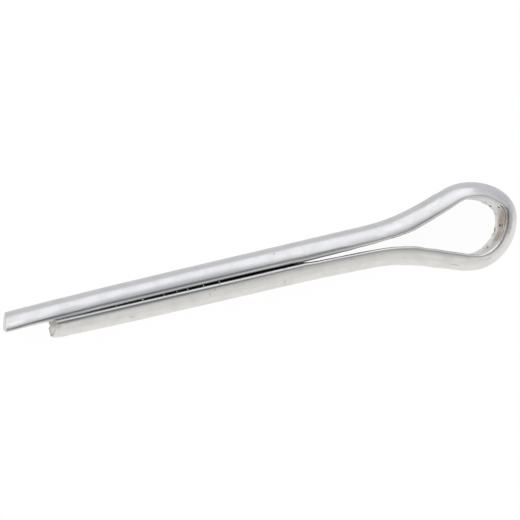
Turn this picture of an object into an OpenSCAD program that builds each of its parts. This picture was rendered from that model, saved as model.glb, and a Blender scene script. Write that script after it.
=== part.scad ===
// Extended-prong cotter pin: one length of half-round wire, folded on itself so
// that its two flats face each other along the shank and line the eye.
// X runs along the shank towards the eye, Y from the short prong to the long
// prong, and Z is up. The origin is on the shank's axis at the neck, where the
// short side starts to swell into the eye. The pin lies flat on its side.

/* [Wire] */
// Diameter of the wire's round side, and so of the closed shank
wire_d = 2.9; // [2.6:0.1:3.2]
// Thickness of the wire, from its flat to the crown of its round side
wire_t = 1.364; // [1.28:0.004:1.4]
// Rounding of the two corners where the flat meets the round side
corner_r = 0.25; // [0.16:0.01:0.3]

/* [Prongs] */
// Short prong, from the neck to its sheared end, on the shank's axis
short_prong = 21.4; // [14:0.1:32]
// How far the long prong reaches past the short one
prong_step = 3.6; // [1.5:0.1:6]
// Gap between the flats at the neck
neck_gap = 0.22; // [0.2:0.01:0.3]
// Angle of each prong to the shank's axis, closing the gap towards the ends
prong_angle = 0.24; // [0.04:0.04:0.24]
// Slant of the two sheared ends, seen from above
shear_angle = 13; // [0:1:25]

/* [Eye] */
// Angle to the shank at which the long side swells into the eye
long_flare_angle = 21; // [18:0.5:24]
// Angle to the shank at which the short side swells into the eye
short_flare_angle = 23.5; // [20:0.5:26]
// Bend radius of the long side's shoulder, at the centre of the wire's arc
long_shoulder_r = 2.85; // [2.4:0.05:3.4]
// Bend radius of the short side's shoulder, at the centre of the wire's arc
short_shoulder_r = 2.35; // [2:0.05:2.8]
// Bend radius of the eye's end, at the centre of the wire's arc
eye_end_r = 1.04; // [0.8:0.02:1.4]
// Share of the end bend that lies on the long side, in degrees
long_end_angle = 48; // [36:1:56]
// Share of the end bend that lies on the short side, in degrees
short_end_angle = 9; // [5:1:30]
// How far the end bend's centre lies to the long side of the shank's axis
eye_shift = 0.09; // [-0.2:0.01:0.3]

/* [Hidden] */
$fn = 64;

wire_r = wire_d / 2;
// The flat lies this far out from the centre of the wire's arc
flat_x = wire_r - wire_t;
// Centre of the corner rounding, which is tangent to the flat and to the arc
corner_x = flat_x + corner_r;
corner_angle = asin(corner_x / (wire_r - corner_r));
corner_y = (wire_r - corner_r) * cos(corner_angle);

// Offset of the wire's arc from the shank's axis at the neck
neck_offset = neck_gap / 2 - flat_x;
long_prong = short_prong + prong_step;
// Size of the block that trims each sheared end
cutter = 4 * wire_d;

// The short side's flare starts at the neck, which places the eye
short_rise = eye_rise(short_shoulder_r, short_end_angle, short_flare_angle, -eye_shift);
eye_x = (short_rise - neck_offset) / (cos(prong_angle) - cos(short_flare_angle))
    * (sin(short_flare_angle) - sin(prong_angle))
    - eye_run(short_shoulder_r, short_end_angle, short_flare_angle);

// Where a side's flare meets its shoulder, from the centre of the end bend:
// how far along the shank, and how far out from the shank's axis
function eye_run(shoulder_r, end_angle, heading) =
    (eye_end_r - shoulder_r) * cos(end_angle) - shoulder_r * sin(heading);
function eye_rise(shoulder_r, end_angle, heading, shift) =
    shift + (eye_end_r - shoulder_r) * sin(end_angle) + shoulder_r * cos(heading);

// A pie slice from angle a0 to a1, larger than a circle of radius r
module slice(r, a0, a1) {
    reach = 1.5 * r;
    mid = (a0 + a1) / 2;
    polygon([
        [0, 0],
        reach * [cos(a0), sin(a0)],
        reach * [cos(mid), sin(mid)] / cos((a1 - a0) / 2),
        reach * [cos(a1), sin(a1)]
    ]);
}

// The wire's half-round section: X outward through its crown, Y across it
module wire_section() {
    far = 1.5 * wire_r;
    // Flat and round side, up to where the corner roundings begin
    intersection() {
        circle(wire_r);
        polygon([
            [flat_x, -corner_y],
            [corner_x, -corner_y],
            far * [sin(corner_angle), -cos(corner_angle)],
            far * [1, -1],
            far * [1, 1],
            far * [sin(corner_angle), cos(corner_angle)],
            [corner_x, corner_y],
            [flat_x, corner_y]
        ]);
    }
    // The two rounded corners
    for (flip = [0, 1])
        mirror([0, flip])
            translate([corner_x, corner_y])
                intersection() {
                    circle(corner_r);
                    slice(corner_r, 90 - corner_angle, 180);
                }
}

// Moves its children by v, in a whole step of hundredths and a fine one
module place(v) {
    whole = [round(v[0] * 100) / 100, round(v[1] * 100) / 100];
    translate([whole[0], whole[1], 0])
        translate([v[0] - whole[0], v[1] - whole[1], 0])
            children();
}

// A bend of the wire round centre c, with the wire's arc at bend radius r, from
// angle a0 to a1. Its crown faces away from the centre, or towards it.
module bend(c, r, a0, a1, crown_out = true) {
    place(c)
        rotate_extrude(start = a0, angle = a1 - a0)
            place([r, 0])
                mirror([crown_out ? 0 : 1, 0])
                    wire_section();
}

// A straight prong of wire that ends at the neck, trimmed by the shear
module straight(prong, neck, slant) {
    back = prong + cutter / 2;
    difference() {
        place(neck)
            rotate([0, 0, prong_angle])
                translate([-back, 0, 0])
                    rotate([90, 0, 90])
                        linear_extrude(back)
                            wire_section();
        translate([-prong, 0, 0])
            rotate([0, 0, -slant])
                translate([-cutter, -cutter / 2, -cutter / 2])
                    cube(cutter);
    }
}

// One side of the pin, from its sheared end to the bend at the eye's end. It is
// drawn as the long side is, and the short side is its mirror image.
module side(prong, heading, shoulder_r, end_angle, shift, slant) {
    shoulder = [eye_x, shift] + (eye_end_r - shoulder_r) * [cos(end_angle), sin(end_angle)];
    meet = [
        eye_x + eye_run(shoulder_r, end_angle, heading),
        eye_rise(shoulder_r, end_angle, heading, shift)
    ];

    // The flare's circle touches both the prong's line and the shoulder's circle
    lean = [sin(prong_angle) - sin(heading), cos(heading) - cos(prong_angle)];
    flare_r = (neck_offset + meet[0] * tan(prong_angle) - meet[1])
        / (lean[1] - lean[0] * tan(prong_angle));
    flare = meet + flare_r * [-sin(heading), cos(heading)];

    straight(prong, meet + flare_r * lean, slant);
    bend(flare, flare_r, prong_angle - 90, heading - 90, crown_out = false);
    bend(shoulder, shoulder_r, end_angle, heading + 90);
}

module cotter_pin() {
    color([0.76, 0.76, 0.78]) {
        side(long_prong, long_flare_angle, long_shoulder_r, long_end_angle,
             eye_shift, shear_angle);
        mirror([0, 1, 0])
            side(short_prong, short_flare_angle, short_shoulder_r, short_end_angle,
                 -eye_shift, -shear_angle);
        bend([eye_x, eye_shift], eye_end_r, -short_end_angle, long_end_angle);
    }
}

cotter_pin();
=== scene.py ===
"""Extended-prong cotter pin: its dressed wire, a white studio and the camera.

Lengths are in millimetres up to the point where a mesh or the camera is made, and
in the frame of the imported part: X along the shank towards the eye, Y from the
short prong to the long prong, and Z up. A place "along" the wire is its distance
from the long prong's end, and a place "around" it is the distance on its surface
from the flat's lower end, up the flat and over the round side.
"""

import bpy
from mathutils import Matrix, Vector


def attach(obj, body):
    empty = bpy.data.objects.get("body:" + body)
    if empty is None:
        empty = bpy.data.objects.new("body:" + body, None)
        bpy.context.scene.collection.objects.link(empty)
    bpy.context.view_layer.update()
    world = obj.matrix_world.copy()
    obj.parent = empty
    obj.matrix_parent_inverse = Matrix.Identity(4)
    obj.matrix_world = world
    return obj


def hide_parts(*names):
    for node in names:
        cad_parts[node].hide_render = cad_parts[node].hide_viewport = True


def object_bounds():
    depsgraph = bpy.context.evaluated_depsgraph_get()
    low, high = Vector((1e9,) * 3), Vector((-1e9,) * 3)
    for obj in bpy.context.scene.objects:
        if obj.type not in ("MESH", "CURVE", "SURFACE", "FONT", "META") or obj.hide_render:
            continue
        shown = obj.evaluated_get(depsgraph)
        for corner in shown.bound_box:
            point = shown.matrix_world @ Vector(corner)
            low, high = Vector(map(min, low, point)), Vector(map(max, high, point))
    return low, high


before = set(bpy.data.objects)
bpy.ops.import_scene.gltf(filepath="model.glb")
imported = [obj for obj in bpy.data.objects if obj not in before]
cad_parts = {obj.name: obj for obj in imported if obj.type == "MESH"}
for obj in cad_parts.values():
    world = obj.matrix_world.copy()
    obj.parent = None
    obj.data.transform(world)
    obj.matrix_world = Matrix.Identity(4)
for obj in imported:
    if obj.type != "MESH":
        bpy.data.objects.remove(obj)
CAD_BOX = [list(corner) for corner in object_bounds()]

import logging
import math
from dataclasses import astuple, dataclass, field
from enum import Enum
from functools import reduce

import bmesh
import bpy
from mathutils import Matrix, Vector, noise

LOG = logging.getLogger("cotter_pin")
MM = 0.001
# Half the wire's height as it lies on its side
HALF_HEIGHT = 1.4

Knots = tuple[tuple[float, float], ...]
Tone = tuple[float, float, float, float]
Socket = bpy.types.NodeSocket
Inputs = dict[int | str, object]
Mesh = bmesh.types.BMesh
Row = list[bmesh.types.BMVert]


def smooth(low: float, high: float, value: float) -> float:
    """Ease a value from 0 at low to 1 at high."""
    share = min(1.0, max(0.0, (value - low) / (high - low)))
    return share * share * (3.0 - 2.0 * share)


def between(knots: Knots, value: float) -> float:
    """Read a smooth curve drawn through a few knots.

    Args:
        knots: Places along the curve in rising order, each with its height.
        value: Where to read the curve.

    Returns:
        The height there, held beyond the first and the last knot.
    """
    for (low, first), (high, last) in zip(knots, knots[1:]):
        if value < high:
            return first + (last - first) * smooth(low, high, value)
    return knots[-1][1]


def wander(x: float, y: float, z: float) -> float:
    """Return smooth noise from -1 to 1 at a point, the same on every run."""
    return noise.noise(Vector((x, y, z)))


def grey(level: float) -> Tone:
    """Return a plain grey."""
    return (level, level, level, 1.0)


WHITE = grey(1.0)


@dataclass(frozen=True)
class Fade:
    """A smooth change between two places, from one strength to another."""

    start: float
    end: float
    first: float = 0.0
    last: float = 1.0

    def at(self, value: float) -> float:
        """Return the strength at a place."""
        return self.first + (self.last - self.first) * smooth(self.start, self.end, value)


@dataclass(frozen=True)
class Mark:
    """A soft oval mark: its place along and around the wire, half sizes and strength."""

    along: float
    around: float
    length: float
    width: float
    strength: float = 1.0


class Skin(Enum):
    """Which finish a strip of the wire's surface takes."""

    ROUND = 0
    FLAT = 1
    CLEAN_CUT = 2
    TORN_CUT = 3


@dataclass
class SectionPoint:
    """One point of the wire's half-round section."""

    out: float
    up: float
    skin: Skin


def arc(out: float, up: float, radius: float, angles: list[float]) -> list[SectionPoint]:
    """Return points of the wire's round side at the given angles of an arc."""
    return [SectionPoint(out + radius * math.cos(a), up + radius * math.sin(a), Skin.ROUND) for a in angles]


@dataclass
class WireSection:
    """The half-round wire: a round side, a flat, and two rounded corners."""

    diameter: float = 2.9
    thickness: float = 1.364
    height: float = 2.802
    round_steps: int = 40
    corner_steps: int = 9
    flat_steps: int = 34

    @property
    def radius(self) -> float:
        """Radius of the round side."""
        return self.diameter / 2

    @property
    def flat(self) -> float:
        """How far out the flat lies from the centre of the round side."""
        return self.radius - self.thickness

    def points(self, corner_r: float) -> list[SectionPoint]:
        """Go once round the section.

        Args:
            corner_r: Rounding of the two corners.

        Returns:
            The points, from the flat's lower end up it, over the upper corner,
            round the crown and back over the lower corner.
        """
        corner_x = self.flat + corner_r
        inner = self.radius - corner_r
        corner_y = math.sqrt(inner * inner - corner_x * corner_x)
        turn = math.asin(corner_x / inner)
        ring = [
            SectionPoint(self.flat, corner_y * (2 * i / self.flat_steps - 1), Skin.FLAT)
            for i in range(self.flat_steps)
        ]
        sweep, steps = math.pi / 2 + turn, self.corner_steps
        crown = [(math.pi / 2 - turn) * (1 - 2 * i / self.round_steps) for i in range(self.round_steps)]
        ring += arc(corner_x, corner_y, corner_r, [math.pi - sweep * i / steps for i in range(steps)])
        ring += arc(0.0, 0.0, self.radius, crown)
        ring += arc(corner_x, -corner_y, corner_r, [sweep * (1 - i / steps) - math.pi for i in range(steps)])
        # A tighter corner may not stand taller than the drawn wire
        squash = min(1.0, self.height / 2 / (corner_y + corner_r))
        for point in ring:
            point.up *= squash
        return ring


@dataclass
class Station:
    """One cross-section of the wire along its route."""

    x: float
    y: float
    heading: float
    along: float = 0.0

    @property
    def outward(self) -> tuple[float, float]:
        """Direction of the wire's crown, to the left of its heading."""
        return -math.sin(self.heading), math.cos(self.heading)


def bend(centre: tuple[float, float], radius: float, start: float, turn: float, step: float) -> list[Station]:
    """Walk a circular bend of the wire.

    Args:
        centre: The bend's centre.
        radius: Its radius, negative where the crown faces the centre.
        start: The heading that it starts with, in radians.
        turn: How far the heading turns, in radians.
        step: Spacing of the stations.

    Returns:
        The stations, without the one at the bend's end.
    """
    count = math.ceil(abs(radius * turn) / step)
    headings = [start + turn * i / count for i in range(count)]
    return [Station(centre[0] - radius * math.sin(h), centre[1] + radius * math.cos(h), h) for h in headings]


@dataclass
class SideRoute:
    """One side of the folded wire, from its cut end to the bend at the eye's end.

    Angles are in degrees from the shank's axis, and bend radii are taken at the
    centre of the wire's arc. The side is drawn as the long one is, and the short
    one is its mirror image. The shift is how far out the end bend's centre lies.
    """

    prong: float
    flare_angle: float
    shoulder_r: float
    end_angle: float
    shift: float
    end_r: float = 1.04
    neck_offset: float = 0.024
    prong_angle: float = 0.24
    # Stations of the straight prong: close ones next to the cut, then plain ones,
    # whose spacing is given in steps of the bends
    close: tuple[float, ...] = (0.0, 0.03, 0.07, 0.12, 0.2, 0.3, 0.42, 0.56, 0.74, 0.96, 1.2)
    plain_from: float = 1.4
    plain_steps: float = 1.6

    @property
    def shoulder(self) -> tuple[float, float]:
        """The shoulder's centre: along the shank from the end bend's, and out from the axis."""
        end, reach = math.radians(self.end_angle), self.end_r - self.shoulder_r
        return reach * math.cos(end), self.shift + reach * math.sin(end)

    @property
    def flare_end(self) -> tuple[float, float]:
        """Where the flare meets the shoulder, given in the same way."""
        (run, rise), flare = self.shoulder, math.radians(self.flare_angle)
        return run - self.shoulder_r * math.sin(flare), rise + self.shoulder_r * math.cos(flare)

    @property
    def eye_x(self) -> float:
        """Find the end bend's centre for a flare that starts at x = 0.

        Returns:
            Its place along the shank.
        """
        prong, flare = math.radians(self.prong_angle), math.radians(self.flare_angle)
        run, rise = self.flare_end
        flare_r = (rise - self.neck_offset) / (math.cos(prong) - math.cos(flare))
        return flare_r * (math.sin(flare) - math.sin(prong)) - run

    def straight(self, neck_x: float, step: float) -> list[Station]:
        """Walk the straight prong from its cut end.

        Args:
            neck_x: Where the flare starts along the shank.
            step: Spacing of the stations in the bends.

        Returns:
            The stations up to the start of the flare.
        """
        prong = math.radians(self.prong_angle)
        length = self.prong + neck_x
        count = int((length - self.plain_from) / (self.plain_steps * step))
        plain = [self.plain_from + (length - self.plain_from) * i / count for i in range(count)]
        places = [away - self.prong for away in (*self.close, *plain)]
        return [Station(x, self.neck_offset + x * math.tan(prong), prong) for x in places]

    def stations(self, eye_x: float, step: float) -> list[Station]:
        """Walk the side from its cut end towards the eye's end.

        Args:
            eye_x: Where the end bend's centre lies along the shank.
            step: Spacing of the stations in the bends.

        Returns:
            Stations up to the start of the end bend.
        """
        prong, flare = math.radians(self.prong_angle), math.radians(self.flare_angle)
        # The flare's circle touches both the prong's line and the shoulder's circle
        meet = (eye_x + self.flare_end[0], self.flare_end[1])
        lean = (math.sin(prong) - math.sin(flare), math.cos(flare) - math.cos(prong))
        flare_r = (self.neck_offset + meet[0] * math.tan(prong) - meet[1]) / (
            lean[1] - lean[0] * math.tan(prong)
        )
        centre = (meet[0] - flare_r * math.sin(flare), meet[1] + flare_r * math.cos(flare))
        shoulder = (eye_x + self.shoulder[0], self.shoulder[1])
        turn = flare + math.pi / 2 - math.radians(self.end_angle)
        return [
            *self.straight(meet[0] + flare_r * lean[0], step),
            *bend(centre, -flare_r, prong, flare - prong, step),
            *bend(shoulder, self.shoulder_r, flare, -turn, step),
        ]


@dataclass
class FoldedRoute:
    """The whole wire, from the long prong's end round the eye to the short one's."""

    long_side: SideRoute = field(default_factory=lambda: SideRoute(25.0, 21.0, 2.85, 48.0, 0.09))
    short_side: SideRoute = field(default_factory=lambda: SideRoute(21.4, 23.5, 2.35, 9.0, -0.09))
    step: float = 0.12
    end_step: float = 0.072

    def stations(self) -> list[Station]:
        """Walk the whole wire.

        Returns:
            Stations with their distance along the wire filled in.
        """
        eye_x = self.short_side.eye_x
        walk = self.long_side.stations(eye_x, self.step)
        first, last = math.radians(self.long_side.end_angle), -math.radians(self.short_side.end_angle)
        end_r = self.long_side.end_r
        count = math.ceil(end_r * (first - last) / self.end_step)
        for i in range(count + 1):
            angle = first + (last - first) * i / count
            x = eye_x + end_r * math.cos(angle)
            y = self.long_side.shift + end_r * math.sin(angle)
            walk.append(Station(x, y, angle - math.pi / 2))
        for s in reversed(self.short_side.stations(eye_x, self.step)):
            walk.append(Station(s.x, -s.y, math.pi - s.heading))
        for before, after in zip(walk, walk[1:]):
            after.along = before.along + math.hypot(after.x - before.x, after.y - before.y)
        return walk


@dataclass
class Nick:
    """A small notch in the foot of a cut end, or a tongue where its depth is negative."""

    side: float
    reach: float
    depth: float


@dataclass
class CutEnd:
    """The sheared end of one prong.

    The slant is in degrees, seen from above. The undercut sets the cut's upper
    edge back, and the lip stands out of it next to the flat. The roll rounds the
    crown over, and the broken edge rounds the rest.
    """

    prong: float
    slant: float
    undercut: float
    lip: float
    tear: float
    roll_reach: float
    roll_depth: float
    skin: Skin
    nicks: tuple[Nick, ...] = ()
    reach: float = 1.2
    edge_reach: float = 0.05
    edge_depth: float = 0.025
    lip_side: Fade = Fade(0.1, 0.5)
    lip_height: Fade = Fade(-0.4, 1.0)
    nick_height: Fade = Fade(-0.6, 0.6)
    roll_side: Fade = Fade(0.3, 1.3)

    def shape(self, side: float, up: float) -> float:
        """Find where the cut lies along the shank.

        Args:
            side: Distance from the shank's axis, towards the prong's crown.
            up: Height above the wire's middle.

        Returns:
            The cut's X at that point of the section.
        """
        rise = (up + HALF_HEIGHT) / (2 * HALF_HEIGHT)
        ragged = wander(side * 2.1 + 4.0, up * 1.7, 3.0) + 0.6 * wander(side * 6.0, up * 5.0, 9.0)
        place = (
            -self.prong
            + side * math.tan(math.radians(self.slant))
            + self.undercut * rise
            - self.lip * (1 - self.lip_side.at(side)) * self.lip_height.at(up)
            + self.tear * ragged
        )
        for nick in self.nicks:
            beside = 1 - smooth(0.0, nick.reach, abs(side - nick.side))
            place += nick.depth * beside * (1 - self.nick_height.at(up))
        return place

    def trim(self, spot: Vector, away: float) -> None:
        """Fit a point near the end to the cut.

        Args:
            spot: The point, in millimetres, which is moved.
            away: Its distance from the end, along the wire.
        """
        if away >= self.reach:
            return
        keep = 1 - smooth(0.0, self.reach, away)
        spot.x += (self.shape(abs(spot.y), spot.z) + away - spot.x) * keep
        rolled = self.roll_depth * self.roll_side.at(abs(spot.y))
        for reach, depth in ((self.roll_reach, rolled), (self.edge_reach, self.edge_depth)):
            near = max(0.0, 1 - away / reach)
            drop = depth * (1 - math.sqrt(1 - near * near))
            length = math.hypot(spot.y, spot.z)
            spot.y -= math.copysign(drop * abs(spot.y) / length, spot.y)
            spot.z -= drop * spot.z / length


@dataclass
class Pit:
    """A small corroded pit in the wire's flat."""

    along: float
    up: float
    reach: float
    # Depth as a share of the reach
    depth: float = 0.45

    def dent(self, along: float, up: float) -> float:
        """Return how deep the pit is at a place on the flat."""
        away = math.hypot(along - self.along, up - self.up) / self.reach
        return self.depth * self.reach * (1 - smooth(0.3, 1.0, away))


@dataclass
class Chip:
    """A tiny chip of metal caught between the prongs."""

    along: float
    out: float
    reach: float
    up: float = 1.12
    # Sizes along each axis, as shares of the reach
    shape: tuple[float, float, float] = (0.7, 1.3, 1.0)

    def add_to(self, mesh: Mesh, middle: Vector) -> None:
        """Add the chip as a small, uneven lump.

        Args:
            mesh: The mesh to add to.
            middle: The chip's middle, in millimetres.
        """
        made = bmesh.ops.create_icosphere(mesh, subdivisions=2, radius=1.0)
        for v in made["verts"]:
            size = self.reach * (1 + 0.5 * wander(v.co.x * 1.3 + self.along, v.co.y * 1.3, v.co.z * 1.3))
            spot = Vector([share * place for share, place in zip(self.shape, v.co)])
            v.co = (middle + spot * size) * MM


@dataclass
class PinWire:
    """The pin's one piece of wire, swept and cut."""

    section: WireSection = field(default_factory=WireSection)
    route: FoldedRoute = field(default_factory=FoldedRoute)
    long_cut: CutEnd = field(
        default_factory=lambda: CutEnd(24.84, 13.0, 0.06, 0.0, 0.004, 0.07, 0.07, Skin.CLEAN_CUT)
    )
    short_cut: CutEnd = field(
        default_factory=lambda: CutEnd(
            21.52, -13.0, 0.36, 0.02, 0.02, 0.7, 0.17, Skin.TORN_CUT,
            (Nick(0.48, 0.14, 0.08), Nick(0.72, 0.16, -0.07), Nick(1.35, 0.35, -0.05)),
        )
    )
    # Rings that close a cut end, as shares of its rim
    cut_rings: tuple[float, ...] = (0.975, 0.93, 0.86, 0.77, 0.66, 0.54, 0.42, 0.3, 0.18, 0.08)
    # Rounding of the corners before the wire was bent, which sets the lanes around it
    drawn_corner: float = 0.25
    waviness: float = 0.003
    # Height of the flat's two edges, between which it leans or stays tucked
    edge_up: float = 1.2
    # The short prong's flat leans, so that the gap closes towards the floor, by this
    # much, or by the whole gap where that is less
    closing: float = 0.14
    short_from: float = 50.0
    neck_gap: float = 0.2
    gap_opens: Fade = Fade(-3.1, -2.2)
    flat_reach: float = 0.6
    # Hollows along the flat's lower edge, in the eye
    hollows: float = 0.35
    hollow_start: Fade = Fade(34.5, 36.0)
    hollow_stop: Fade = Fade(42.5, 41.5)
    hollow_height: Fade = Fade(-0.9, -1.3)
    # By the place along the wire: the prongs' bow, the crown's swell, how far the
    # flat's upper and lower edges stand out, and the rounding of the two corners
    bow: Knots = (
        (0.0, -0.115), (2.0, -0.095), (4.0, -0.065), (8.0, -0.02), (14.0, 0.0), (46.0, 0.0),
        (54.0, 0.035), (60.0, 0.055),
    )
    swell: Knots = (
        (0.0, -0.035), (4.0, -0.012), (26.0, -0.01), (29.3, -0.055), (31.5, -0.02), (33.0, -0.01),
        (34.0, -0.08), (36.0, -0.11), (37.0, -0.09), (38.0, 0.0), (40.0, 0.015), (41.0, 0.045),
        (42.0, 0.015), (44.0, 0.1), (45.5, 0.04), (47.5, 0.0), (50.5, 0.09), (54.0, 0.02),
        (57.0, 0.005), (67.0, 0.0), (72.7, -0.055),
    )
    lean: Knots = (
        (0.0, -0.01), (2.3, 0.015), (3.6, -0.02), (5.0, -0.03), (18.0, -0.04), (20.8, -0.08),
        (22.0, -0.14), (23.5, -0.11), (25.0, -0.09), (26.5, -0.03), (28.0, -0.03), (29.2, -0.1),
        (30.3, -0.13), (31.3, -0.08), (32.5, -0.03), (33.9, -0.02), (35.2, 0.08), (36.2, 0.12),
        (37.0, 0.08), (37.6, 0.14), (38.8, 0.11), (40.3, 0.2), (41.2, 0.21), (42.0, 0.12),
        (43.5, 0.15), (45.0, 0.1), (46.2, -0.01), (47.2, 0.0), (50.5, 0.13), (53.3, 0.05),
        (54.5, -0.03), (57.0, -0.05), (62.0, -0.045), (66.0, -0.035), (71.0, -0.02),
    )
    tuck: Knots = (
        (37.2, 0.0), (38.2, 0.13), (40.0, 0.16), (41.5, 0.2), (43.5, 0.17), (49.0, 0.18),
        (50.5, 0.23), (52.0, 0.23), (53.6, 0.13), (55.2, 0.0),
    )
    corner: Knots = (
        (0.0, 0.16), (5.0, 0.26), (18.0, 0.26), (22.0, 0.31), (24.5, 0.3), (26.3, 0.22),
        (28.0, 0.17), (29.6, 0.17), (31.3, 0.22), (33.0, 0.2), (34.5, 0.17), (37.0, 0.16),
        (37.7, 0.3), (40.6, 0.3), (42.0, 0.17), (52.0, 0.18), (58.0, 0.25),
    )
    pits: tuple[Pit, ...] = (
        Pit(38.65, 0.2, 0.17), Pit(37.45, 0.65, 0.12), Pit(37.25, -0.7, 0.12), Pit(40.4, 0.25, 0.12),
        Pit(40.55, -0.05, 0.09), Pit(39.0, -0.8, 0.1), Pit(40.9, 0.7, 0.08), Pit(36.75, -0.45, 0.09),
        Pit(35.9, -0.65, 0.08), Pit(37.9, -0.75, 0.08), Pit(39.7, 0.85, 0.07),
    )
    chips: tuple[Chip, ...] = (
        Chip(8.2, 0.05, 0.05), Chip(10.05, 0.04, 0.1), Chip(11.6, 0.04, 0.08), Chip(12.62, 0.03, 0.08),
        Chip(13.25, 0.02, 0.08), Chip(14.38, 0.03, 0.08), Chip(15.69, 0.0, 0.07),
    )

    def closed(self, station: Station, point: SectionPoint) -> float:
        """Measure how far the short prong's flat leans towards the long one's.

        Args:
            station: The cross-section's place.
            point: The point of the section.

        Returns:
            How far the point moves towards the gap.
        """
        if station.along <= self.short_from:
            return 0.0
        low = smooth(self.edge_up, -self.edge_up, point.up)
        low *= 1 - smooth(0.0, self.flat_reach, point.out - self.section.flat)
        narrowing = 2 * station.x * math.tan(math.radians(self.route.short_side.prong_angle))
        gap = max(0.0, self.neck_gap + narrowing + between(self.bow, station.along))
        return min(self.closing, gap) * low * (1 - self.gap_opens.at(station.x))

    def place(self, station: Station, point: SectionPoint) -> Vector:
        """Put one point of the section where it belongs on the route.

        Args:
            station: The cross-section's place.
            point: The point of the section.

        Returns:
            The point in the part's frame, in millimetres.
        """
        out, up, along = point.out, point.up, station.along
        radius = self.section.radius
        crown = smooth(0.0, radius, out)
        out += between(self.bow, along) + crown * between(self.swell, along)
        high = smooth(-self.edge_up, self.edge_up, up)
        out += (1 - crown) * (between(self.lean, along) * high + between(self.tuck, along) * (1 - high))
        out -= self.closed(station, point)
        if point.skin is Skin.FLAT:
            for pit in self.pits:
                out += pit.dent(along, up)
        edge = self.hollow_height.at(up) * self.hollow_start.at(along) * self.hollow_stop.at(along)
        edge *= 1 - crown
        out += self.hollows * edge * max(0.0, wander(along * 2.7, 5.0, 4.0))
        wave = wander(along * 0.45, up * 0.8, point.out) + 0.4 * wander(along * 1.4, up, 7.0)
        grow = 1 + self.waviness / radius * (wave - 1)
        normal = station.outward
        return Vector((station.x + normal[0] * out * grow, station.y + normal[1] * out * grow, up * grow))

    def row(self, mesh: Mesh, station: Station, ends: tuple[tuple[CutEnd, Station], ...]) -> Row:
        """Add the vertices of one cross-section.

        Args:
            mesh: The mesh to add to.
            station: The cross-section's place.
            ends: The two cuts and the stations that they lie at.

        Returns:
            The vertices, in the section's order.
        """
        row = []
        for point in self.section.points(between(self.corner, station.along)):
            spot = self.place(station, point)
            for cut, tip in ends:
                cut.trim(spot, abs(station.along - tip.along))
            row.append(mesh.verts.new(spot * MM))
        return row

    def skin(self, mesh: Mesh, walk: list[Station], rows: list[Row]) -> None:
        """Join the rows with faces, and give each face its finish and its lanes.

        Args:
            mesh: The mesh to add to.
            walk: The stations.
            rows: The vertices at each station.
        """
        lanes = mesh.loops.layers.uv["wire"]
        ring = self.section.points(self.drawn_corner)
        around = [0.0]
        for a, b in zip(ring, ring[1:] + ring[:1]):
            around.append(around[-1] + math.hypot(b.out - a.out, b.up - a.up))
        for k, (before, after) in enumerate(zip(rows, rows[1:])):
            for i, point in enumerate(ring):
                j = (i + 1) % len(ring)
                face = mesh.faces.new((before[i], after[i], after[j], before[j]))
                face.material_index = point.skin.value
                face.smooth = True
                corners = ((k, i), (k + 1, i), (k + 1, i + 1), (k, i + 1))
                for loop, (s, a) in zip(face.loops, corners):
                    loop[lanes].uv = (walk[s].along, around[a])

    def close(self, mesh: Mesh, rim: Row, cut: CutEnd) -> None:
        """Close one cut end with rings that shrink to its middle.

        Args:
            mesh: The mesh to add to.
            rim: The wire's last row of vertices.
            cut: The end's form.
        """
        middle = sum((v.co for v in rim), Vector()) / len(rim)
        made, outer = [], rim
        for share in self.cut_rings:
            inner = []
            for v in rim:
                spot = middle.lerp(v.co, share) / MM
                spot.x = cut.shape(abs(spot.y), spot.z)
                inner.append(mesh.verts.new(spot * MM))
            for i in range(len(rim)):
                j = (i + 1) % len(rim)
                made.append(mesh.faces.new((outer[i], outer[j], inner[j], inner[i])))
            outer = inner
        heart = mesh.verts.new((cut.shape(abs(middle.y / MM), middle.z / MM) * MM, middle.y, middle.z))
        for i in range(len(outer)):
            made.append(mesh.faces.new((outer[i], outer[(i + 1) % len(outer)], heart)))
        for face in made:
            face.material_index = cut.skin.value
            face.smooth = True

    def build(self) -> bpy.types.Object:
        """Sweep the wire, close its two ends and add the chips.

        Returns:
            The wire's object.
        """
        walk = self.route.stations()
        ends = ((self.long_cut, walk[0]), (self.short_cut, walk[-1]))
        mesh = bmesh.new()
        mesh.loops.layers.uv.new("wire")
        rows = [self.row(mesh, station, ends) for station in walk]
        self.skin(mesh, walk, rows)
        for row, (cut, _) in zip((rows[0], rows[-1]), ends):
            self.close(mesh, row, cut)
        for chip in self.chips:
            near = min(walk, key=lambda station: abs(station.along - chip.along))
            chip.add_to(mesh, self.place(near, SectionPoint(chip.out, chip.up, Skin.ROUND)))
        bmesh.ops.recalc_face_normals(mesh, faces=mesh.faces)
        data = bpy.data.meshes.new("folded_wire")
        mesh.to_mesh(data)
        mesh.free()
        wire = bpy.data.objects.new("folded_wire", data)
        bpy.context.scene.collection.objects.link(wire)
        return wire


# The colours of a Mix node, and their mix, by their places among its sockets
MIX_FIRST, MIX_SECOND, MIX_RESULT = 6, 7, 2


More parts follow.
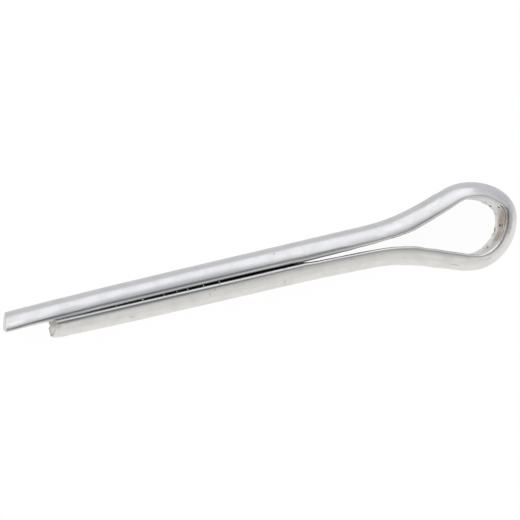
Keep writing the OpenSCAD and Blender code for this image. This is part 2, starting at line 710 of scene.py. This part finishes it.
class Graph:
    """A short way to write a node tree."""

    def __init__(self, owner: bpy.types.Material | bpy.types.World) -> None:
        """Start with the emptied tree of a material or a world.

        Args:
            owner: The material or the world.
        """
        owner.use_nodes = True
        self.tree = owner.node_tree
        self.tree.nodes.clear()

    def node(self, kind: str, inputs: Inputs | None = None, **settings: object) -> bpy.types.Node:
        """Add a node.

        Args:
            kind: The node's type.
            inputs: What its sockets get, by their number or name: a plain value,
                another node's output, or None to leave them alone.
            settings: Values of the node's own properties.

        Returns:
            The node.
        """
        made = self.tree.nodes.new(kind)
        for name, value in settings.items():
            setattr(made, name, value)
        for key, value in (inputs or {}).items():
            if isinstance(value, Socket):
                self.tree.links.new(value, made.inputs[key])
            elif value is not None:
                made.inputs[key].default_value = value
        return made

    def math(self, operation: str, *values: object) -> Socket:
        """Combine numbers with one Math node."""
        return self.node("ShaderNodeMath", dict(enumerate(values)), operation=operation).outputs[0]

    def times(self, *values: object) -> Socket:
        """Multiply numbers, from the first to the last."""
        return reduce(lambda product, value: self.math("MULTIPLY", product, value), values)

    def vector(self, operation: str, *values: object) -> bpy.types.Node:
        """Combine vectors with one Vector Math node."""
        return self.node("ShaderNodeVectorMath", dict(enumerate(values)), operation=operation)

    def scaled(self, vector: Socket, size: tuple[float, float, float]) -> Socket:
        """Multiply a vector by a size along each axis."""
        return self.vector("MULTIPLY", vector, size).outputs[0]

    def axis(self, vector: Socket, which: int) -> Socket:
        """Take one component of a vector, from 0 for X to 2 for Z."""
        return self.node("ShaderNodeSeparateXYZ", {0: vector}).outputs[which]

    def lanes(self) -> Socket:
        """Return the place along and around the wire."""
        return self.node("ShaderNodeUVMap", uv_map="wire").outputs[0]

    def place(self) -> Socket:
        """Return the place in the part's frame, in millimetres."""
        return self.scaled(self.node("ShaderNodeTexCoord").outputs["Object"], (1 / MM,) * 3)

    def rays(self, *kinds: str) -> Socket:
        """Tell rays of the named kinds from the others.

        Args:
            kinds: Names of the light path's outputs.

        Returns:
            1 for a ray of those kinds, and 0 for another.
        """
        path = self.node("ShaderNodeLightPath")
        found = path.outputs[kinds[0]]
        for kind in kinds[1:]:
            found = self.math("MAXIMUM", found, path.outputs[kind])
        return found

    def noise(self, vector: Socket, scale: float, detail: float = 3.0, rough: float = 0.5) -> Socket:
        """Read a noise texture's grey value at a place."""
        inputs = {"Vector": vector, "Scale": scale, "Detail": detail, "Roughness": rough}
        return self.node("ShaderNodeTexNoise", inputs).outputs["Fac"]

    def fade(self, value: Socket, fade: Fade) -> Socket:
        """Read a fade's strength at a value."""
        inputs = dict(zip(("Value", "From Min", "From Max", "To Min", "To Max"), (value, *astuple(fade))))
        return self.node("ShaderNodeMapRange", inputs, interpolation_type="SMOOTHSTEP").outputs[0]

    def mix(self, share: Socket, first: object, second: object) -> Socket:
        """Mix two colours, by the share of the second one."""
        inputs = {"Factor": share, MIX_FIRST: first, MIX_SECOND: second}
        return self.node("ShaderNodeMix", inputs, data_type="RGBA").outputs[MIX_RESULT]

    def marks(self, lanes: Socket, marks: tuple[Mark, ...], ragged: float = 0.5) -> Socket:
        """Cover oval marks with a mask.

        Args:
            lanes: The place along and around the wire.
            marks: The marks.
            ragged: How uneven the marks' outlines are.

        Returns:
            The strongest of the marks' masks.
        """
        torn = self.times(self.math("SUBTRACT", self.noise(lanes, 4.5), 0.5), ragged * 2)
        total: object = 0.0
        for mark in marks:
            away = self.vector("SUBTRACT", lanes, (mark.along, mark.around, 0.0)).outputs[0]
            away = self.scaled(away, (1 / mark.length, 1 / mark.width, 0.0))
            away = self.math("ADD", self.vector("LENGTH", away).outputs["Value"], torn)
            total = self.math("MAXIMUM", total, self.fade(away, Fade(1.0, 0.3, 0.0, mark.strength)))
        return total

    def ramp(self, value: Socket, levels: Knots) -> Socket:
        """Turn a value into a grey level by a few stops.

        Args:
            value: The value to look up.
            levels: Each stop's place, from 0 to 1, and its level.

        Returns:
            The level as a colour.
        """
        made = self.node("ShaderNodeValToRGB", {0: value})
        stops = made.color_ramp.elements
        stops[0].color, stops[1].color = grey(levels[0][1]), grey(levels[-1][1])
        for place, level in levels[1:-1]:
            stops.new(place).color = grey(level)
        return made.outputs[0]

    def bump(self, height: Socket, strength: float, depth: float, under: Socket | None = None) -> Socket:
        """Bump the surface, or the normal under it, by a height of 1 for the depth in millimetres."""
        inputs = {"Strength": strength, "Distance": depth * MM, "Height": height, "Normal": under}
        return self.node("ShaderNodeBump", inputs).outputs[0]

    def finish(self, shader: bpy.types.Node, kind: str = "ShaderNodeOutputMaterial") -> None:
        """Send a shader to the tree's output."""
        self.node(kind, {"Surface": shader.outputs[0]})


@dataclass(frozen=True)
class DrawnSteel:
    """Semi-bright drawn steel, with die lines, a light mottle and small marks, some of them painted shade and
    painted highlights.
    """

    name: str = "drawn_steel"
    tone: Tone = grey(0.81)
    dull: Tone = grey(0.72)
    # Grey of the painted shade that dims highlights and darkens creases
    shade_grey: Tone = (0.53, 0.545, 0.56, 1.0)
    # Near-black painted shade for the dark gap between the prongs
    gap_shade: Tone = (0.09, 0.09, 0.095, 1.0)
    brown: Tone = (0.47, 0.41, 0.37, 1.0)
    # Grey of scratches, and of painted shade on creases and corners
    scratch_and_shade_grey: Tone = (0.34, 0.32, 0.36, 1.0)
    speck: Tone = (0.36, 0.36, 0.37, 1.0)
    mottle_rough: Fade = Fade(0.3, 0.75, 0.17, 0.29)
    mottle_worn: Fade = Fade(0.42, 0.66, 0.0, 0.55)
    flecks_worn: Fade = Fade(0.66, 0.72, 0.0, 0.4)
    # Painted shade in the corner next to the dark gap between the prongs: from the short prong's end, up to
    # the neck, and around the corner
    gap_shade_end: Fade = Fade(3.6, 11.0, 0.0, 0.95)
    gap_shade_neck: Fade = Fade(27.0, 23.0)
    gap_shade_corner: Fade = Fade(2.53, 2.4)
    # Painted highlights: marks that lighten the steel towards white, brightening its reflection there
    highlight_marks: tuple[Mark, ...] = (
        Mark(34.3, 2.84, 2.2, 0.25, 0.8), Mark(41.4, 2.86, 0.9, 0.22, 0.8), Mark(0.8, 2.98, 1.2, 0.24, 0.8),
        Mark(51.0, 2.42, 2.5, 0.12, 0.8), Mark(34.9, 3.25, 1.1, 0.3, 0.3), Mark(32.4, 3.5, 1.0, 0.25, 0.5),
        Mark(28.9, 3.3, 1.0, 0.28, 0.5),
    )
    # Painted shade: marks that dim the highlights and darken the creases of the corners and crown
    shade_marks: tuple[Mark, ...] = (
        Mark(12.3, 2.79, 11.8, 0.47), Mark(4.6, 2.62, 3.2, 0.24), Mark(1.0, 2.65, 1.2, 0.17),
        Mark(2.9, 2.69, 1.9, 0.15), Mark(4.9, 2.94, 2.2, 0.32, 0.65), Mark(26.3, 3.0, 1.6, 0.3, 0.35),
        Mark(55.0, 2.55, 1.0, 0.12, 0.4), Mark(50.8, 2.62, 2.4, 0.1, 0.5), Mark(69.0, 2.68, 14.0, 0.22),
        Mark(58.5, 2.57, 5.5, 0.12, 0.35), Mark(23.0, 2.52, 4.8, 0.28, 0.75), Mark(72.7, 2.92, 0.6, 0.4, 0.7),
        Mark(70.0, 2.8, 2.6, 0.12, 0.4), Mark(24.6, 3.02, 1.3, 0.22, 0.2), Mark(37.2, 3.35, 1.1, 0.85, 0.3),
    )
    # Brown stain at the eye's corner, and painted shade that dims the corner's highlight
    brown_and_shade_marks: tuple[Mark, ...] = (
        Mark(38.1, 2.44, 1.0, 0.3), Mark(39.2, 2.36, 0.6, 0.14, 0.6), Mark(39.3, 2.53, 0.85, 0.14, 0.85),
    )
    # Scratches and specks, and painted shade that darkens creases and dims highlights at the corners
    scratch_and_shade_marks: tuple[Mark, ...] = (
        Mark(38.2, 2.66, 0.85, 0.13, 0.65), Mark(38.4, 2.85, 1.1, 0.35, 0.6), Mark(31.3, 2.7, 1.9, 0.1, 0.25),
        Mark(37.9, 2.72, 0.4, 0.18, 0.8), Mark(71.8, 2.75, 1.6, 0.14, 0.4), Mark(37.5, 2.45, 0.25, 0.25, 0.6),
        Mark(4.0, 2.68, 1.2, 0.18, 0.35), Mark(2.0, 2.67, 1.8, 0.09, 0.35), Mark(39.9, 2.63, 0.6, 0.1, 0.4),
        Mark(55.9, 2.52, 0.35, 0.12, 0.45), Mark(38.0, 3.05, 0.5, 0.3, 0.3), Mark(38.7, 2.62, 0.7, 0.12, 0.4),
        Mark(43.05, 3.62, 0.5, 0.05, 0.75), Mark(42.6, 3.66, 0.3, 0.05, 0.65),
        Mark(60.75, 2.5, 0.07, 0.2, 0.7), Mark(15.7, 2.5, 0.06, 0.1, 0.6),
    )
    specks: tuple[Mark, ...] = (
        Mark(32.1, 3.15, 0.08, 0.06, 0.4), Mark(32.35, 3.28, 0.1, 0.05, 0.35),
        Mark(32.75, 3.3, 0.13, 0.06, 0.3), Mark(32.8, 3.18, 0.09, 0.05, 0.4),
        Mark(19.97, 3.45, 0.12, 0.08, 0.7), Mark(56.05, 3.6, 0.11, 0.28, 0.4),
        Mark(61.55, 3.08, 0.1, 0.17, 0.4), Mark(61.15, 2.86, 0.13, 0.07, 0.7),
        Mark(45.0, 3.02, 0.1, 0.07, 0.3), Mark(54.8, 2.9, 0.4, 0.07, 0.35),
        Mark(51.0, 2.88, 0.25, 0.07, 0.35), Mark(49.9, 3.9, 0.13, 0.07, 0.5),
        Mark(29.6, 2.45, 0.15, 0.12), Mark(28.7, 2.52, 0.13, 0.09, 0.8),
        Mark(14.35, 4.0, 0.15, 0.09, 0.6), Mark(41.3, 2.96, 0.35, 0.06, 0.5),
        Mark(40.9, 3.05, 0.22, 0.06, 0.5), Mark(67.3, 3.55, 0.25, 0.09, 0.45),
    )

    def make(self) -> bpy.types.Material:
        """Build the finish.

        Returns:
            The material.
        """
        material = bpy.data.materials.new(self.name)
        g = Graph(material)
        lanes, place = g.lanes(), g.place()
        along, around = g.axis(lanes, 0), g.axis(lanes, 1)
        mottle = g.noise(place, 0.9, 4.0, 0.62)
        flecks = g.noise(place, 7.0, 2.0)
        worn = g.math("MAXIMUM", g.fade(mottle, self.mottle_worn), g.fade(flecks, self.flecks_worn))
        base = g.mix(worn, self.tone, self.dull)
        # Painted shade: grey marks beside the flat on both prongs and on parts of the crown, which dim the
        # steel's highlights and darken its creases
        base = g.mix(g.marks(lanes, self.shade_marks, 0.1), base, self.shade_grey)
        # Painted highlights, mixed towards white
        base = g.mix(g.marks(lanes, self.highlight_marks, 0.1), base, WHITE)
        # Painted shade where the corner faces the dark gap; the metal is turned off there too
        gap_shaded = g.times(g.fade(along, self.gap_shade_end), g.fade(along, self.gap_shade_neck))
        gap_shaded = g.times(gap_shaded, g.fade(around, self.gap_shade_corner))
        base = g.mix(gap_shaded, base, self.gap_shade)
        # Brown stain, partly painted shade over the corner's highlight
        base = g.mix(g.marks(lanes, self.brown_and_shade_marks), base, self.brown)
        # Scratches, and painted shade on creases and corner highlights
        base = g.mix(g.marks(lanes, self.scratch_and_shade_marks), base, self.scratch_and_shade_grey)
        base = g.mix(g.marks(lanes, self.specks, 0.8), base, self.speck)
        rough = g.fade(mottle, self.mottle_rough)
        die_lines = g.noise(g.scaled(lanes, (0.22, 9.0, 1.0)), 1.0, 3.0, 0.6)
        normal = g.bump(g.noise(place, 3.2), 0.25, 0.02, g.bump(die_lines, 0.12, 0.02))
        g.finish(g.node("ShaderNodeBsdfPrincipled", {
            "Base Color": base, "Metallic": g.math("SUBTRACT", 1.0, gap_shaded), "Specular IOR Level": 0.0,
            "Roughness": rough, "Normal": normal,
        }))
        return material


@dataclass(frozen=True)
class StainedFlat:
    """The wire's flat: duller steel, with brown stain and dark pits at the eye's end, and painted shade where
    the flats face each other across the dark gap.
    """

    name: str = "stained_flat"
    tone: Tone = (0.93, 0.92, 0.90, 1.0)
    dull: Tone = (0.72, 0.71, 0.70, 1.0)
    stain: Tone = (0.60, 0.53, 0.49, 1.0)
    patch: Tone = (0.62, 0.50, 0.41, 1.0)
    pit: Tone = (0.12, 0.10, 0.09, 1.0)
    # Near-black painted shade where the flats face the dark gap between the prongs
    gap_shade: Tone = (0.10, 0.10, 0.105, 1.0)
    fleck: Tone = (0.4, 0.4, 0.41, 1.0)
    roughness: float = 0.34
    # Painted shade on the long prong's flat, where it faces the dark gap: at the gap's mouth, a break where
    # the mouth's shade stops, full where the gap is closed, ending at the prong's free end, and a little
    # weaker along part of it
    mouth: Fade = Fade(28.0, 24.5, 0.0, 0.7)
    mouth_stop: Fade = Fade(24.0, 22.9)
    full: Fade = Fade(22.2, 21.3)
    free_end: Fade = Fade(3.8, 4.4)
    weaker_shade: Fade = Fade(9.0, 16.0, 0.9, 1.0)
    # The same painted shade on the short prong's flat, and flecks of metal in it
    short_mouth: Fade = Fade(54.6, 55.3)
    short_weaker_shade: Fade = Fade(66.0, 60.0, 0.9, 1.0)
    flecked: Fade = Fade(59.0, 63.0)
    fleck_grain: Fade = Fade(0.5, 0.62)
    # Along the wire: where the eye's flat turns dull, pitted, and then matt
    dull_from: Fade = Fade(38.8, 40.4)
    dull_cloud: Fade = Fade(0.35, 0.65, 0.0, 0.6)
    pitted_from: Fade = Fade(34.0, 36.5)
    pit_grain: Fade = Fade(0.64, 0.72)
    matt_from: Fade = Fade(48.5, 51.0, 0.0, 0.8)
    stains: tuple[Mark, ...] = (
        Mark(38.4, 1.87, 1.2, 1.65, 0.95), Mark(39.4, 1.7, 0.9, 1.1, 0.9), Mark(39.2, 0.4, 0.32, 0.7, 0.55),
    )
    patches: tuple[Mark, ...] = (
        Mark(38.25, 1.8, 0.42, 0.95, 0.9), Mark(38.75, 2.1, 0.45, 0.45, 0.7), Mark(39.4, 1.6, 0.38, 0.7, 0.5),
    )
    smudges: tuple[Mark, ...] = (
        Mark(37.75, 2.3, 0.4, 0.4, 0.6), Mark(38.7, 2.3, 0.25, 0.18, 0.5), Mark(40.45, 2.05, 0.7, 0.6, 0.3),
        Mark(39.4, 2.25, 0.6, 0.3, 0.4), Mark(38.93, 0.1, 0.2, 0.5, 0.7),
    )
    pits: tuple[Mark, ...] = (
        Mark(38.65, 1.42, 0.14, 0.38), Mark(37.45, 1.85, 0.1, 0.32), Mark(37.25, 0.5, 0.11, 0.4, 0.95),
        Mark(38.68, 1.95, 0.1, 0.5, 0.5), Mark(40.25, 0.85, 0.08, 0.28, 0.75),
        Mark(40.4, 1.4, 0.11, 0.42, 0.95), Mark(40.57, 1.1, 0.07, 0.28, 0.7),
        Mark(39.0, 0.35, 0.11, 0.3, 0.55), Mark(40.9, 1.85, 0.08, 0.22, 0.6),
        Mark(36.75, 0.7, 0.14, 0.18, 0.45), Mark(35.9, 0.5, 0.12, 0.12, 0.7),
        Mark(37.9, 0.4, 0.1, 0.16, 0.5), Mark(39.7, 2.0, 0.06, 0.25, 0.5),
        Mark(41.0, 0.9, 0.06, 0.35, 0.45), Mark(40.15, 1.9, 0.06, 0.3, 0.5),
        Mark(40.6, 2.1, 0.08, 0.2, 0.6), Mark(37.7, 1.6, 0.05, 0.2, 0.4),
    )

    def shade_on_flats(self, g: Graph, along: Socket) -> Socket:
        """Find where painted shade darkens the two flats that face each other across the dark gap.

        Args:
            g: The tree to add to.
            along: The place along the wire.

        Returns:
            How strongly the painted shade covers the steel.
        """
        # The mouth's painted shade stops before the closed part of the gap begins
        clean = g.math("SUBTRACT", 1.0, g.fade(along, self.mouth_stop))
        long_flat = g.math("ADD", g.times(g.fade(along, self.mouth), clean), g.fade(along, self.full))
        long_flat = g.times(g.fade(along, self.free_end), long_flat, g.fade(along, self.weaker_shade))
        short_flat = g.times(g.fade(along, self.short_mouth), g.fade(along, self.short_weaker_shade))
        return g.math("ADD", long_flat, short_flat)

    def make(self) -> bpy.types.Material:
        """Build the finish.

        Returns:
            The material.
        """
        material = bpy.data.materials.new(self.name)
        g = Graph(material)
        lanes = g.lanes()
        along = g.axis(lanes, 0)
        cloud = g.noise(lanes, 1.9, 4.0, 0.6)
        grain = g.noise(lanes, 6.5, 3.0, 0.7)
        stained = g.marks(lanes, self.stains, 0.3)
        specked = g.times(g.fade(grain, self.pit_grain), g.fade(along, self.pitted_from), 0.5)
        pits = g.math("MAXIMUM", specked, g.marks(lanes, self.pits, 0.3))
        dulled = g.math("MAXIMUM", g.fade(cloud, self.dull_cloud), g.fade(along, self.dull_from))
        base = g.mix(dulled, self.tone, self.dull)
        base = g.mix(stained, base, self.stain)
        base = g.mix(g.marks(lanes, self.patches), base, self.patch)
        base = g.mix(g.marks(lanes, self.smudges), base, self.pit)
        base = g.mix(pits, base, self.pit)
        streaks = g.noise(g.scaled(lanes, (1.0, 0.12, 1.0)), 1.9, 2.0)
        flecks = g.times(g.fade(streaks, self.fleck_grain), g.fade(along, self.flecked))
        # Painted shade where the flats face the dark gap, with light flecks of metal in it; the metal is
        # turned off there
        flat_shaded = self.shade_on_flats(g, along)
        base = g.mix(flat_shaded, base, g.mix(flecks, self.gap_shade, self.fleck))
        matt = g.math("MAXIMUM", g.times(stained, 0.5), g.fade(along, self.matt_from))
        metallic = g.times(g.math("SUBTRACT", 1.0, matt), g.math("SUBTRACT", 1.0, flat_shaded))
        rough = g.math("ADD", self.roughness, g.times(stained, 0.2))
        g.finish(g.node("ShaderNodeBsdfPrincipled", {
            "Base Color": base, "Metallic": metallic, "Specular IOR Level": 0.0, "Roughness": rough,
            "Normal": g.bump(grain, 0.5, 0.03),
        }))
        return material


@dataclass(frozen=True)
class CutSteel:
    """Bare metal of a sheared end, with random darker patches, and darker next to the flat."""

    name: str
    tone: Tone
    dark_tone: Tone
    metallic: float
    roughness: float
    grain: float
    # By the distance from the shank's axis, darker next to the flat, and by the noise that spreads the darker
    # patches
    flat_side_dark: Fade = Fade(0.7, 0.35, 0.0, 0.95)
    dark_cloud: Fade = Fade(0.45, 0.65)

    def make(self) -> bpy.types.Material:
        """Build the finish.

        Returns:
            The material.
        """
        material = bpy.data.materials.new(self.name)
        g = Graph(material)
        place = g.place()
        # Darker next to the flat, and in random patches
        foot = g.fade(g.math("ABSOLUTE", g.axis(place, 1)), self.flat_side_dark)
        cloud = g.fade(g.noise(place, 3.0, 4.0, 0.7), self.dark_cloud)
        base = g.mix(g.math("MAXIMUM", cloud, foot), self.tone, self.dark_tone)
        torn = g.noise(g.scaled(place, (1.0, 1.0, 0.3)), 7.0, 4.0)
        g.finish(g.node("ShaderNodeBsdfPrincipled", {
            "Base Color": base, "Metallic": self.metallic, "Roughness": self.roughness,
            "Normal": g.bump(torn, self.grain, 0.05),
        }))
        return material


@dataclass
class CotterPin:
    """The dressed pin: its wire, and the finishes in the order of Skin."""

    wire: PinWire = field(default_factory=PinWire)
    finishes: tuple[DrawnSteel | StainedFlat | CutSteel, ...] = (
        DrawnSteel(),
        StainedFlat(),
        CutSteel("clean_cut", grey(0.95), (0.84, 0.84, 0.85, 1.0), 1.0, 0.3, 0.3),
        CutSteel("torn_cut", (0.84, 0.83, 0.80, 1.0), (0.44, 0.41, 0.38, 1.0), 1.0, 0.42, 0.9),
    )

    def build(self) -> list[bpy.types.Object]:
        """Make the pin's pieces and tie them to the frame.

        Returns:
            The pieces made.
        """
        piece = self.wire.build()
        for finish in self.finishes:
            piece.data.materials.append(finish.make())
        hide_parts("cotter_pin")
        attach(piece, "root")
        return [piece]


@dataclass
class Studio:
    """A white floor and soft, plain surroundings, which the steel mirrors."""

    floor_size: float = 900.0
    floor_glow: float = 1.05
    glow_share: float = 0.9
    paper: Tone = grey(0.9)
    # What the steel mirrors of the floor: before the pin, beyond it, and far off,
    # past a slanting line
    sheen_before: Tone = (0.90, 0.885, 0.855, 1.0)
    sheen_beyond: Tone = (0.65, 0.65, 0.675, 1.0)
    sheen_far: Tone = (0.93, 0.935, 0.97, 1.0)
    beyond: Fade = Fade(-3.0, 4.0)
    far: Fade = Fade(6.0, 30.0)
    far_side: Fade = Fade(9.0, 0.0)
    far_slant: float = 0.43
    # Grey levels of the far and the near side, by the height of the direction
    north: Knots = ((0.0, 0.66), (0.5, 0.7), (0.75, 0.72), (0.85, 0.61), (0.94, 0.36), (1.0, 0.17))
    south: Knots = (
        (0.0, 0.84), (0.1, 0.84), (0.44, 0.78), (0.64, 0.70), (0.85, 0.50), (0.94, 0.32), (1.0, 0.17),
    )
    northward: Fade = Fade(-0.3, 0.3)
    warm: Tone = (1.0, 0.985, 0.95, 1.0)
    cool: Tone = (0.967, 0.972, 1.0, 1.0)
    # The near side brightens towards the prongs' ends
    bright: float = 1.6
    bright_east: Fade = Fade(0.16, -0.02, 0.0, 0.14)
    bright_height: Fade = Fade(0.3, 0.6)
    # The dark spot overhead thins out towards the eye's end
    clear: float = 0.5
    clear_east: Fade = Fade(0.16, 0.34)
    clear_height: Fade = Fade(0.75, 0.9)
    # The bright wall on the far side fades upwards and ends at a nearly upright edge
    wall: float = 1.1
    wall_edge: float = 0.445
    wall_slant: float = 0.105
    wall_soft: Fade = Fade(-0.04, 0.04)
    wall_height: Fade = Fade(0.99, 0.6)
    wall_north: Fade = Fade(0.2, 0.4)
    wall_west: Fade = Fade(-0.9, -0.5)

    def build(self, ground: float) -> None:
        """Make the floor, at the height in metres that the pin lies at, and the world."""
        self.floor(ground)
        self.world()

    def paper_finish(self) -> bpy.types.Material:
        """Build the floor's material.

        Returns:
            White paper that glows for rays that see it straight or in a reflection.
        """
        material = bpy.data.materials.new("white_floor")
        g = Graph(material)
        place = g.place()
        across = g.axis(place, 1)
        near = g.mix(g.fade(across, self.beyond), self.sheen_before, self.sheen_beyond)
        beside = g.math("SUBTRACT", g.axis(place, 0), g.times(across, self.far_slant))
        far = g.times(g.fade(across, self.far), g.fade(beside, self.far_side))
        mirrored = g.mix(far, near, self.sheen_far)
        camera = g.rays("Is Camera Ray", "Is Transmission Ray")
        colour = g.mix(camera, mirrored, WHITE)
        glow = g.node("ShaderNodeEmission", {"Color": colour, "Strength": self.floor_glow}).outputs[0]
        paper = g.node("ShaderNodeBsdfDiffuse", {"Color": self.paper}).outputs[0]
        direct = g.rays("Is Camera Ray", "Is Glossy Ray", "Is Transmission Ray")
        share = g.times(direct, self.glow_share)
        g.finish(g.node("ShaderNodeMixShader", {0: share, 1: paper, 2: glow}))
        return material

    def floor(self, ground: float) -> None:
        """Lay the floor.

        Args:
            ground: Height of the floor, in metres.
        """
        half = self.floor_size / 2 * MM
        data = bpy.data.meshes.new("floor")
        corners = [(x * half, y * half, ground) for x, y in ((-1, -1), (1, -1), (1, 1), (-1, 1))]
        data.from_pydata(corners, [], [(0, 1, 2, 3)])
        floor = bpy.data.objects.new("floor", data)
        bpy.context.scene.collection.objects.link(floor)
        floor.data.materials.append(self.paper_finish())

    def world(self) -> None:
        """Set the pale surroundings, which the camera itself sees as white."""
        world = bpy.data.worlds.new("studio")
        bpy.context.scene.world = world
        g = Graph(world)
        toward = g.node("ShaderNodeTexCoord").outputs["Generated"]
        east, north, height = (g.axis(toward, i) for i in range(3))
        side = g.fade(north, self.northward)
        base = g.mix(side, g.ramp(height, self.south), g.ramp(height, self.north))
        low = g.times(g.fade(east, self.bright_east), g.math("SUBTRACT", 1.0, side))
        low = g.times(low, g.fade(height, self.bright_height))
        base = g.mix(low, base, grey(self.bright))
        clear = g.times(g.fade(east, self.clear_east), g.fade(height, self.clear_height))
        base = g.mix(clear, base, grey(self.clear))
        edge = g.math("SUBTRACT", self.wall_edge, g.times(height, self.wall_slant))
        lit = g.times(
            g.fade(g.math("SUBTRACT", edge, east), self.wall_soft), g.fade(height, self.wall_height),
            g.fade(north, self.wall_north), g.fade(east, self.wall_west),
        )
        base = g.mix(lit, base, grey(self.wall))
        shade = g.vector("MULTIPLY", base, g.mix(side, self.warm, self.cool)).outputs[0]
        colour = g.mix(g.rays("Is Camera Ray", "Is Transmission Ray"), shade, WHITE)
        back = g.node("ShaderNodeBackground", {"Color": colour, "Strength": 1.0})
        g.finish(back, "ShaderNodeOutputWorld")


@dataclass
class Viewpoint:
    """The camera: nearly overhead, off towards the prongs' ends, and rolled.

    Angles are in degrees. It aims beside and above the end bend by the lengths given.
    """

    lean_back: float = 9.9
    lean_side: float = 2.974
    roll: float = 13.026
    distance: float = 138.7
    aside: float = 16.402
    above: float = -3.018
    lens: float = 130.81
    sensor: float = 36.0
    clip_start: float = 10.0

    def build(self, eye_x: float) -> None:
        """Make the camera and set it as the scene's.

        Args:
            eye_x: Where the end bend's centre lies, in millimetres.
        """
        a, b, turn = (math.radians(v) for v in (self.lean_back, self.lean_side, self.roll))
        back = Vector((-math.sin(a), math.sin(b) * math.cos(a), math.cos(a) * math.cos(b)))
        along = Vector((1.0, 0.0, 0.0))
        along = (along - back * along.dot(back)).normalized()
        across = back.cross(along)
        right = along * math.cos(turn) - across * math.sin(turn)
        up = along * math.sin(turn) + across * math.cos(turn)
        place = Vector((eye_x, 0.0, 0.0)) + back * self.distance - right * self.aside + up * self.above
        data = bpy.data.cameras.new("camera")
        data.lens = self.lens
        data.sensor_width = self.sensor
        data.clip_start = self.clip_start * MM
        camera = bpy.data.objects.new("camera", data)
        bpy.context.scene.collection.objects.link(camera)
        axes = Matrix((right, up, back.normalized())).transposed()
        camera.matrix_world = Matrix.Translation(place * MM) @ axes.to_4x4()
        bpy.context.scene.camera = camera


def main() -> None:
    """Build the pin, the studio and the camera, and report each piece."""
    logging.basicConfig(level=logging.INFO, format="%(name)s: %(message)s")
    pin = CotterPin()
    for piece in pin.build():
        LOG.info("%s: %d faces, %d finishes", piece.name, len(piece.data.polygons), len(piece.data.materials))
    Studio().build(CAD_BOX[0][2])
    Viewpoint().build(pin.wire.route.short_side.eye_x)
    bpy.context.scene.view_settings.view_transform = "Standard"


if __name__ == "__main__":
    main()
